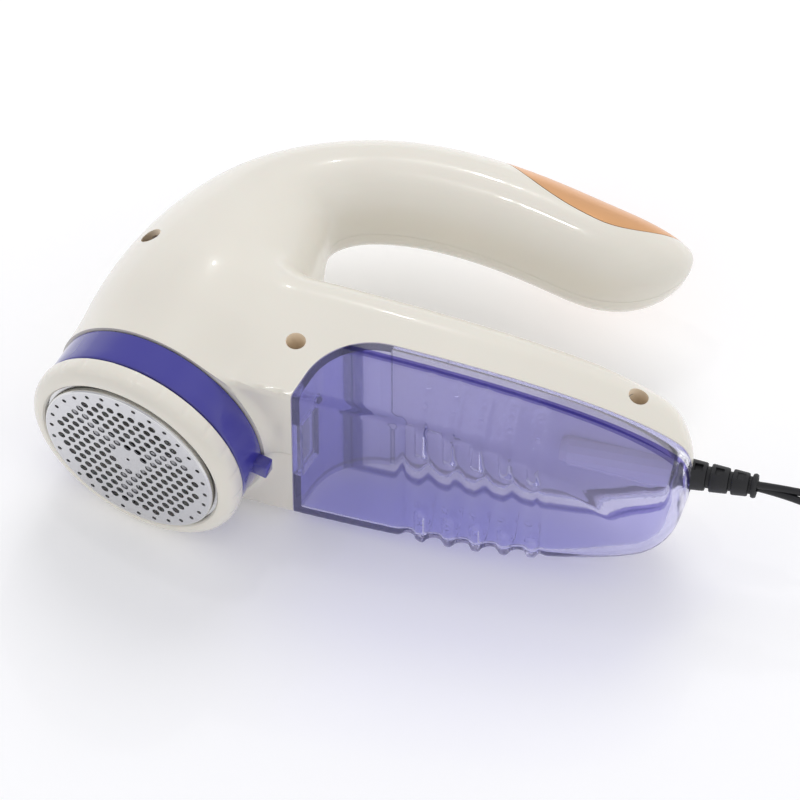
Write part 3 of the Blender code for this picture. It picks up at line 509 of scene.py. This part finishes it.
def clear_violet(name):
    """see-through violet plastic with painted light and shade: a pale band under the rim stands in
    for lit ivory seen through the wall, and a painted shade line of deep violet runs below the
    pale band
    """
    clear, pale, painted_shade_line = (0.715, 0.705, 0.925), (0.96, 0.96, 0.99), (0.10, 0.08, 0.42)
    m, nodes, join, shader = new_material(name)
    coords = add(nodes, 'TexCoord')
    across = add(nodes, 'VectorMath', operation='DOT_PRODUCT')
    across.inputs[1].default_value = (-SA, CA, 0)
    join(coords.outputs['Object'], across.inputs[0])
    ramp = add_ramp(nodes, clear, pale)
    # the ramp covers across-arm heights of 36 to 45 mm
    band = add(nodes, 'MapRange', {'From Min': 0.036 - FACE_Y * MM * CA,
                                   'From Max': 0.045 - FACE_Y * MM * CA})
    join(across.outputs['Value'], band.inputs['Value'])
    # painted shade line of deep violet, then the painted light band of the pale colour
    for position, rgb in ((0.34, clear), (0.37, painted_shade_line), (0.54, painted_shade_line), (0.57, pale)):
        ramp.color_ramp.elements.new(position).color = (*rgb, 1)
    join(band.outputs['Result'], ramp.inputs['Fac'])
    noise = add(nodes, 'TexNoise', {'Scale': 60.0})
    join(coords.outputs['Object'], noise.inputs['Vector'])
    ripple = add(nodes, 'Bump', {'Strength': 0.05, 'Distance': 0.0005})
    join(noise.outputs['Fac'], ripple.inputs['Height'])
    join(ripple.outputs['Normal'], shader.inputs['Normal'])
    join(ramp.outputs['Color'], shader.inputs['Base Color'])
    set_inputs(shader, {'Roughness': 0.06, 'IOR': 1.33, 'Transmission Weight': 0.93})
    # shadow and diffuse rays pass straight through, tinted
    tint = add(nodes, 'BsdfTransparent')
    join(ramp.outputs['Color'], tint.inputs['Color'])
    rays = add(nodes, 'LightPath')
    either = add(nodes, 'Math', operation='MAXIMUM')
    join(rays.outputs['Is Shadow Ray'], either.inputs[0])
    join(rays.outputs['Is Diffuse Ray'], either.inputs[1])
    mix = add(nodes, 'MixShader')
    join(either.outputs[0], mix.inputs['Fac'])
    join(shader.outputs[0], mix.inputs[1])
    join(tint.outputs[0], mix.inputs[2])
    join(mix.outputs[0], nodes['Material Output'].inputs['Surface'])
    return m


# keyed by the frame's material slots, with ivory_painted_shade (a warm tan copy of the ivory,
# painted as the shade inside the screw holes) and foil_edge as second materials
MATERIALS = {
    'ivory': plastic('ivory_abs', rgb=(0.78, 0.745, 0.66), rough=0.24, grain=1400, bump=0.012,
                     vary=0.02, coat=0.35, sss=0.04),
    # painted shade: a warm tan copy of the ivory, for the shaded insides of the screw holes
    'ivory_painted_shade': plastic('ivory_painted_shade', rgb=(0.95, 0.83, 0.67), rough=0.5, bump=0.03),
    'violet': clear_violet('violet_clear'),
    'blue': plastic('indigo_abs', rgb=(0.045, 0.040, 0.30), rough=0.16, grain=1000, bump=0.012,
                    vary=0.06, coat=0.6),
    'foil_steel': brushed('foil_face', rgb=(0.74, 0.74, 0.76), rough=0.34),
    'foil_edge': brushed('foil_edge', rgb=(0.80, 0.80, 0.80), rough=0.10),
    'copper': plastic('copper_lacquer', rgb=(0.80, 0.43, 0.20), rough=0.34, grain=2200,
                      bump=0.03, vary=0.06, coat=0.3, metal=0.75),
    'rubber': plastic('black_rubber', rgb=(0.014, 0.014, 0.016), rough=0.5, grain=1600,
                      bump=0.08, vary=0.25),
    'pvc': plastic('black_flex', rgb=(0.010, 0.010, 0.012), rough=0.33, bump=0.04, vary=0.3),
    'blade_steel': brushed('blade_steel', rgb=(0.50, 0.50, 0.52), rough=0.3),
    'zinc': brushed('zinc_steel', rgb=(0.60, 0.60, 0.58), rough=0.32, radial=False),
    'white_nylon': plastic('white_nylon', rgb=(0.78, 0.78, 0.76), rough=0.45, grain=700,
                           bump=0.05, vary=0.04, sss=0.05),
    'bronze': plastic('sintered_bronze', rgb=(0.55, 0.36, 0.15), rough=0.45, grain=3000,
                      bump=0.2, vary=0.15, metal=1),
    'board': plastic('board_green', rgb=(0.03, 0.15, 0.06), rough=0.4, grain=1200, bump=0.1,
                     vary=0.2),
    'epoxy': plastic('black_epoxy', rgb=(0.02, 0.02, 0.022), rough=0.42, grain=1200, bump=0.08,
                     vary=0.2),
    'cap_sleeve': plastic('cap_sleeve', rgb=(0.04, 0.07, 0.25), rough=0.35, grain=800,
                          bump=0.04, vary=0.1),
    'red_wire': plastic('red_wire', rgb=(0.5, 0.02, 0.02), rough=0.4, bump=0.04, vary=0.1),
    'blue_wire': plastic('blue_wire', rgb=(0.02, 0.06, 0.4), rough=0.4, bump=0.04, vary=0.1)}


def dress_frame():
    for sub in frame['record']['subparts']:
        ob = frame['nodes'][sub['node']]
        ob.data.materials.clear()
        ob.data.materials.append(MATERIALS[sub['material_slot']])


def piece(ob, body, slot, node):
    """give a finished object its material and its place in the frame"""
    ob.data.materials.clear()
    ob.data.materials.append(MATERIALS[slot])
    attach(ob, body)
    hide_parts(node)


# ---------------------------------------------------------------- casing halves and trim
BOSS_R, SINK_R, CLEAR_R, PILOT_R = 3.9, 3.0, 1.75, 1.55     # screw posts and their holes


def trim_outline(gap):
    """the trim's region in side view, its lower edge raised by gap"""
    edge = []
    for u in np.linspace(-1, 1, 61):
        run, rise = TRIM_REAR if u > 0 else TRIM_FRONT
        edge.append((TRIM_LOW[0] + run * u, TRIM_LOW[1] + rise * u * u + gap))
    return edge + [(116, 175)]


def fit_screws(half, near):
    """countersunk bosses in the near half, pilot posts in the far one"""
    for x, y in SCREWS:
        wall_in = min(surface_z(x + 4.1 * cos(q), y + 4.1 * sin(q))
                      for q in np.linspace(0, 2 * pi, 13)) - 0.8
        if near:
            boolean(half, cyl_z('boss', x, y, BOSS_R, 0.15, wall_in), 'UNION')
            boolean(half, cyl_z('sink', x, y, SINK_R, 6.0, surface_z(x, y) + 8))
            boolean(half, cyl_z('clear', x, y, CLEAR_R, -1, 10))
        else:
            boolean(half, cyl_z('post', x, y, BOSS_R, -wall_in, -0.15), 'UNION')
            boolean(half, cyl_z('pilot', x, y, PILOT_R, -12.5, 1))


def paint_screw_hole_shade(half):
    """painted shade: the second, tan ivory material on the walls and floors of the screw holes,
    standing in for the shade inside them
    """
    for f in half.data.polygons:
        c = f.center
        for x, y in SCREWS:
            d = sqrt((c.x / MM - x) ** 2 + (c.y / MM + FACE_Y - y) ** 2)
            # hole walls and hole floors get the painted shade material
            wall = d < SINK_R + 0.02 and abs(f.normal.z) < 0.3
            if wall or d < SINK_R - 0.1 and c.z / MM < 8:
                f.material_index = 1


def build_casing():
    lo, hi = (-45.0, -34.0, -45.5), (178.0, 168.0, 45.5)
    outer = mesh('outer', *skin(0.0, lo, hi, CASING_GRID))
    inner = mesh('inner', *skin(-WALL, lo, hi, CASING_GRID * 1.4))
    shell = link('shell', outer.data.copy())
    boolean(shell, block('mouth_plane', (-60, BOX_FRONT + 5), (-60, MOUTH_Y), (-60, 60)))
    boolean(shell, prism('bay', bay_outline(0.15), -60, 60))
    boolean(shell, cord_tool('port', back=8, drop=2.3, z=0.1, radius=5.25))
    cutter = prism('trim_tool', [(38, 175), (38, 156)] + trim_outline(-0.12), -40, 40)
    region = prism('trim_keep', [(38, 175), (38, 156.3)] + trim_outline(0.12), -40, 40)

    trim = link('copper_trim', outer.data.copy())
    boolean(trim, region, 'INTERSECT')
    boolean(trim, inner, keep=True)
    boolean(trim, block('switch_slot', (69.5, 83.5), (140, 160), (-3.3, 3.3)))
    shade(trim, 38)
    piece(trim, 'root', 'copper', 'handle_trim')

    boolean(shell, cutter)
    boolean(shell, inner, keep=True)
    for name, node, z0, z1, near in (('casing_near', 'near_casing', 0.06, 60, True),
                                     ('casing_far', 'far_casing', -60, -0.06, False)):
        half = link(name, shell.data.copy())
        boolean(half, block('side', (-80, 200), (-40, 200), (z0, z1)), 'INTERSECT')
        fit_screws(half, near)
        shade(half, 38)
        piece(half, 'root', 'ivory', node)
        # second material: the painted shade for the screw holes
        half.data.materials.append(MATERIALS['ivory_painted_shade'])
        if near:
            paint_screw_hole_shade(half)
    for ob in (shell, inner, outer):
        discard(ob)


# ---------------------------------------------------------------- lint box
RIBS = [arm(RIB_S + RIB_PITCH * k, RIB_T) for k in range(5)]
RIB_FIRST, RIB_LAST = (arm_coords(*RIBS[k])[0] for k in (0, -1))


def grip_wave(p):
    """height of the finger ribs and floor waves above the plain box, at points on it"""
    s, t = arm_coords(p[:, 0], p[:, 1])
    up = np.zeros(len(p))
    for cx, cy in RIBS:
        dx, dy = p[:, 0] - cx, p[:, 1] - cy
        a = dx * cos(RIB_TILT) + dy * sin(RIB_TILT)      # across the rib
        b = dx * sin(RIB_TILT) - dy * cos(RIB_TILT)      # down the rib
        away = np.hypot(a, np.maximum(np.abs(b - 1.2) - 10.0, 0))
        rib = 1.05 * (1 - step(1.0, 2.2, away)) * step(12, 16, np.abs(p[:, 2]))
        up = np.maximum(up, rib)
    window = (step(RIB_FIRST - 7, RIB_FIRST - 3.5, s)
              * (1 - step(RIB_LAST + 2.5, RIB_LAST + 6, s)))
    on_floor = 1 - step(19.0, 24.0, t)
    wave = -0.75 + 0.55 * np.cos(2 * pi * (s - RIB_FIRST - 1.5) / RIB_PITCH)
    return up + on_floor * window * wave


def closed_box(p, soften=0.0):
    """the body's outside, closed off above the rim and in front of the bay"""
    t = arm_coords(p[:, 0], p[:, 1])[1]
    capped = np.maximum(body_field(p, soften), t - (ROOF + 5))
    return np.maximum(capped, (BOX_FRONT - 4) - p[:, 0])


def closed_hollow(p):
    """the same with rounder edges, for the inside of the wall"""
    return closed_box(p, 2.4)


def box_skin(name, level, pitch, field, share):
    """skin of a closed box field carrying a share of the ribs and waves"""
    verts, faces = skin(level, (30.0, 6.0, -36.0), (172.0, 92.0, 36.0), pitch, field)
    g = slope(verts, field)
    g /= np.maximum(np.linalg.norm(g, axis=1), 1e-6)[:, None]
    return mesh(name, verts + g * (share * grip_wave(verts))[:, None], faces)


def add_pips(box):
    """two small pips on each rib, on both sides of the box"""
    seg = 20
    profile = [(0.85, -0.6), (0.85, 0.30), (0.68, 0.58), (0.34, 0.72)]   # radius, height
    last = seg * (len(profile) - 1)
    faces = [list(range(seg)), [last + k for k in range(seg - 1, -1, -1)]]
    for i in range(0, last, seg):
        for k in range(seg):
            l = (k + 1) % seg
            faces.append([i + k, i + l, i + seg + l, i + seg + k])
    for cx, cy in RIBS:
        for b in (-5.4, 1.3):      # places down the rib
            x, y = cx + b * sin(RIB_TILT), cy - b * cos(RIB_TILT)
            z = surface_z(x, y) + 0.95
            for side in (1, -1):
                verts = [(*xy, side * (z + h)) for r, h in profile for xy in circle(x, y, r, seg)]
                boolean(box, mesh('pip', verts, faces), 'UNION')


def build_lint_box():
    box = box_skin('lint_box_clear', 0.0, 0.8, closed_box, share=1.0)
    boolean(box, prism('bay_in', bay_outline(-0.15), -60, 60), 'INTERSECT')
    # the hollow follows the front wall and corner round, then runs out through the open top
    hollow = box_skin('hollow', -BOX_WALL, 0.9, closed_hollow, share=0.35)
    well = bay_outline(-BOX_WALL)[:-2]
    round_end = arm_coords(*well[-1])[0]
    far_top = arm(BAY_FAR, 60)
    well += [arm(round_end + 0.5, 60), far_top, (far_top[0], BAY_LOW)]
    boolean(hollow, prism('lid', well, -60, 60), 'INTERSECT')
    boolean(box, hollow)
    boolean(box, block('inlet', (36, 50), (32.0, 40.8), (-13.0, 13.0)))
    boolean(box, cord_tool('slot', back=14, drop=4.1, z=0.12, radius=5.5))
    notch = [arm(150, 44.2), arm(180, 45.2), arm(180, 60), arm(150, 60)]
    boolean(box, prism('slot_up', notch, -5.3, 5.3))
    add_pips(box)
    shade(box, 40)
    piece(box, 'box', 'violet', 'lint_box')


# ---------------------------------------------------------------- ring, foil, collar
KNURLS = 24
RING_BORE = CARRIER_R + 0.5
RING_PROFILE = [      # y, radius
    (5.5, 29.5), (4.6, 29.7), (4.1, 30.2), (4.0, 30.8), (4.05, 31.5), (4.3, 32.3),
    (4.8, 33.2), (5.4, 33.9), (6.0, 34.35), (6.8, 34.75), (7.8, 35.0), (8.8, 35.0),
    (10.0, 35.0), (10.7, 34.9), (11.2, 34.6), (11.5, 34.1), (11.5, RING_BORE), (5.5, RING_BORE)]


def knurl(y, r, a):
    """shallow grooves across the ring's outer band, fading at both ends"""
    if r < 34.0 or not 5.8 < y < 11.0:
        return 0.0
    turn = (a / (2 * pi) * KNURLS) % 1.0
    degrees_off = min(turn, 1 - turn) * (360 / KNURLS)
    return -0.28 * exp(-(degrees_off / 1.3) ** 2) * min(1, (y - 5.8) / 0.8, (11.0 - y) / 0.3)


def build_ring():
    ring = turned('screw_ring', RING_PROFILE, 360, knurl)
    piece(ring, 'ring', 'ivory', 'foil_ring')


FOIL_PROFILE = [      # depth behind the face, radius
    (0, 0.0), (0, 12.0), (0, 20.0), (0, FOIL_R - 0.6), (0.12, FOIL_R - 0.22),
    (0.45, FOIL_R - 0.02), (0.8, FOIL_R), (2.8, FOIL_R), (2.8, CARRIER_R - 0.2),
    (3.3, CARRIER_R - 0.2), (3.3, FOIL_R - 0.5), (0.9, FOIL_R - 0.5), (FOIL_T, FOIL_R - 0.9),
    (FOIL_T, 0.0)]
HOLE_PITCH, HOLE_R = 3.55, 1.24
CENTRE_HOLE_R = 0.55
RIM_HOLES, RIM_HOLE_R, RIM_HOLES_AT = 30, 0.72, 26.4      # number, radius, circle radius


def foil_holes():
    """x, z and radius of each hole: centre, triangular field, outer circle"""
    holes = [(0.0, 0.0, CENTRE_HOLE_R)]
    for i in range(-10, 11):
        for j in range(-10, 11):
            x, z = HOLE_PITCH * (i + 0.5 * (j % 2)), HOLE_PITCH * j * sqrt(3) / 2
            if 4.2 < sqrt(x * x + z * z) < 24.0:
                holes.append((x, z, HOLE_R))
    return holes + [(x, z, RIM_HOLE_R) for x, z in circle(0.0, 0.0, RIM_HOLES_AT, RIM_HOLES)]


def build_foil():
    foil = turned('shaving_foil', [(FACE_Y + depth, r) for depth, r in FOIL_PROFILE], 180)
    verts, faces, n = [], [], 16
    for hx, hz, r in foil_holes():
        o = len(verts)
        for y in (FACE_Y - 1.0, FACE_Y + 1.5):
            verts += [(x, y, z) for x, z in circle(hx, hz, r, n)]
        faces.append([o + k for k in range(n)])
        faces.append([o + 2 * n - 1 - k for k in range(n)])
        faces += [[o + k, o + n + k, o + n + (k + 1) % n, o + (k + 1) % n] for k in range(n)]
    boolean(foil, mesh('perforations', verts, faces))
    shade(foil, 30)
    piece(foil, 'foil_set', 'foil_steel', 'foil')
    foil.data.materials.append(MATERIALS['foil_edge'])
    for f in foil.data.polygons:
        if sqrt(f.center.x ** 2 + f.center.z ** 2) > (FOIL_R - 0.55) * MM:
            f.material_index = 1


def build_collar():
    bore = CARRIER_R + 0.4
    profile = [(COLLAR_Y0, bore), (COLLAR_Y0, 33.9), (COLLAR_Y0 + 0.3, 34.2),
               (COLLAR_Y0 + 1.0, 34.3), (15.5, 34.25), (19.0, 34.25), (21.8, 34.3),
               (COLLAR_Y1 - 0.3, 34.25), (COLLAR_Y1, 33.9), (COLLAR_Y1, bore)]      # y, radius
    collar = turned('depth_collar', profile, 240)
    tab = block('tab', (33.6, 38.4), (18.3, 22.6), (-2.6, 2.6))
    bevel = tab.modifiers.new('round', 'BEVEL')
    bevel.width, bevel.segments = 0.0004, 3
    tab.data = baked(tab)
    tab.modifiers.clear()
    boolean(collar, tab, 'UNION')
    shade(collar, 35)
    piece(collar, 'collar', 'blue', 'adjust_collar')


# ---------------------------------------------------------------- strain relief and flex
CORD_START = Vector((*CORD_IN, 0))
CORD_SPAN = Vector((*CORD_OUT, 0)) - CORD_START
CORD_LEN, CORD_DIR = CORD_SPAN.length, CORD_SPAN.normalized()
RELIEF_PROFILE = [      # distance along the axis, radius
    (-1.5, 4.9), (0.2, 4.9), (0.6, 4.7), (5.2, 4.35), (5.7, 4.2), (5.9, 3.3), (6.9, 3.3),
    (7.1, 4.15), (7.5, 4.3), (12.0, 3.95), (12.5, 3.8), (12.7, 2.95), (13.5, 2.95),
    (13.7, 3.75), (14.1, 3.9), (18.0, 3.6), (18.5, 3.45), (18.7, 2.7), (19.4, 2.7),
    (19.6, 3.5), (20.2, 3.75), (CORD_LEN - 0.5, 3.7), (CORD_LEN, 3.4)]
SLITS = ((2.0, 4.6), (8.4, 11.0), (15.0, 17.4))      # start and end along the axis
CORE_R, CORE_OFFSET = 1.15, 1.17      # radius of a flex core, its distance from the axis


def on_cord(u, drop=0.0, side=0.0):
    """point u along the cord's axis, lowered along Z by drop and moved aside in XY"""
    q = CORD_START + CORD_DIR * u + Vector((-CORD_DIR.y, CORD_DIR.x, 0)) * side
    return (q.x, q.y, -drop)


def build_relief():
    relief = sweep('cord_grommet', [on_cord(u) for u, r in RELIEF_PROFILE],
                   [r for u, r in RELIEF_PROFILE], 64)
    boolean(relief, sweep('relief_bore', [on_cord(-4), on_cord(CORD_LEN + 3)], 2.7, 40))
    for u0, u1 in SLITS:
        corners = ((u0, -1.3), (u1, -1.3), (u1, 1.3), (u0, 1.3))
        outline = [on_cord(u, side=side)[:2] for u, side in corners]
        for z0, z1 in ((3.3, 6), (-6, -3.3)):
            boolean(relief, prism('slit', outline, z0, z1))
    shade(relief, 35)
    piece(relief, 'root', 'rubber', 'strain_relief')


def build_flex():
    """two cores that twist, spread and sag once they leave the strain relief"""
    for name, s in (('flex_core_a', 1), ('flex_core_b', -1)):
        path = []
        for u in np.linspace(-14, CORD_LEN + CORD_TAIL - 0.8, 70):
            w = max(u - CORD_LEN, 0.0)
            twist = 0.055 * w
            offset = CORE_OFFSET + 0.0022 * w * w
            sag = 0.0055 * w * w + 0.02 * w
            drop = sag - s * offset * cos(twist) * (0.6 if w else 1.0)
            path.append(on_cord(u, drop, s * offset * sin(twist)))
        piece(sweep(name, path, CORE_R, 24), 'root', 'pvc', 'power_cord')


# ---------------------------------------------------------------- floor, light, camera; metres
TARGET = Vector((0.0602, 0.05827, 0.0))
CAM_AZIMUTH, CAM_ELEVATION, CAM_DISTANCE = radians(29.05), radians(54.73), 2.0
LIGHTS = (      # name, place, disk size, watts, target, seen in reflections
    ('key', (-0.25, 0.95, 1.25), 0.9, 6.4, TARGET, False),
    ('fill', (-1.1, -0.9, 0.5), 1.5, 2.4, TARGET, False),
    ('rim', (1.2, 0.2, 0.8), 0.9, 1.0, TARGET, False),
    ('spark_bend', (-0.274, 0.832, 0.786), 0.035, 0.35, (0.034, 0.128, 0.016), True),
    ('spark_tip', (-0.220, 0.205, 1.057), 0.035, 0.35, (0.088, 0.128, 0.012), True))


def build_floor():
    paper = plastic('floor_paper', rgb=(0.93, 0.93, 0.935), rough=0.8, grain=120, bump=0.0,
                    vary=0.004, spec=0.1)
    set_inputs(paper.node_tree.nodes['Principled BSDF'],
               {'Emission Color': (1, 1, 1, 1), 'Emission Strength': 0.12})
    z, reach = cad_lo[2] / MM - 0.3, 2500
    corners = [(-reach, -reach, z), (reach, -reach, z), (reach, reach, z), (-reach, reach, z)]
    floor = mesh('floor', corners, [(0, 1, 2, 3)])
    floor.data.materials.append(paper)


def aim(ob, target):
    ob.rotation_euler = (Vector(target) - ob.location).to_track_quat('-Z', 'Y').to_euler()


def build_lights():
    for name, place, size, power, target, glossy in LIGHTS:
        light = bpy.data.lights.new(name, 'AREA')
        light.shape, light.size, light.energy = 'DISK', size, power
        ob = link(name, light)
        ob.location = place
        aim(ob, target)
        ob.visible_glossy = glossy


def build_world():
    """a pale room whose brightness drifts in broad patches, which glossy parts reflect"""
    world = bpy.data.worlds.new('studio')
    bpy.context.scene.world = world
    world.use_nodes = True
    nodes, join = world.node_tree.nodes, world.node_tree.links.new
    coords = add(nodes, 'TexCoord')
    patches = add(nodes, 'TexNoise', {'Scale': 1.3, 'Detail': 0.0})
    join(coords.outputs['Generated'], patches.inputs['Vector'])
    ramp = add_ramp(nodes, (0.66, 0.66, 0.70), (1.0, 1.0, 1.0), at=(0.38, 0.62))
    join(patches.outputs['Fac'], ramp.inputs['Fac'])
    join(ramp.outputs['Color'], nodes['Background'].inputs['Color'])
    set_inputs(nodes['Background'], {'Strength': 0.86})
    bpy.context.scene.view_settings.view_transform = 'Standard'


def build_camera():
    camera = bpy.data.cameras.new('camera')
    camera.sensor_width, camera.lens = 36.0, 300.6
    camera.clip_end = 20
    ob = link('camera', camera)
    flat = cos(CAM_ELEVATION)
    back = Vector((sin(CAM_AZIMUTH) * flat, -cos(CAM_AZIMUTH) * flat, sin(CAM_ELEVATION)))
    ob.location = TARGET + back * CAM_DISTANCE
    aim(ob, TARGET)
    bpy.context.scene.camera = ob


dress_frame()
for build in (build_casing, build_lint_box, build_ring, build_foil, build_collar,
              build_relief, build_flex, build_floor, build_lights, build_world, build_camera):
    build()
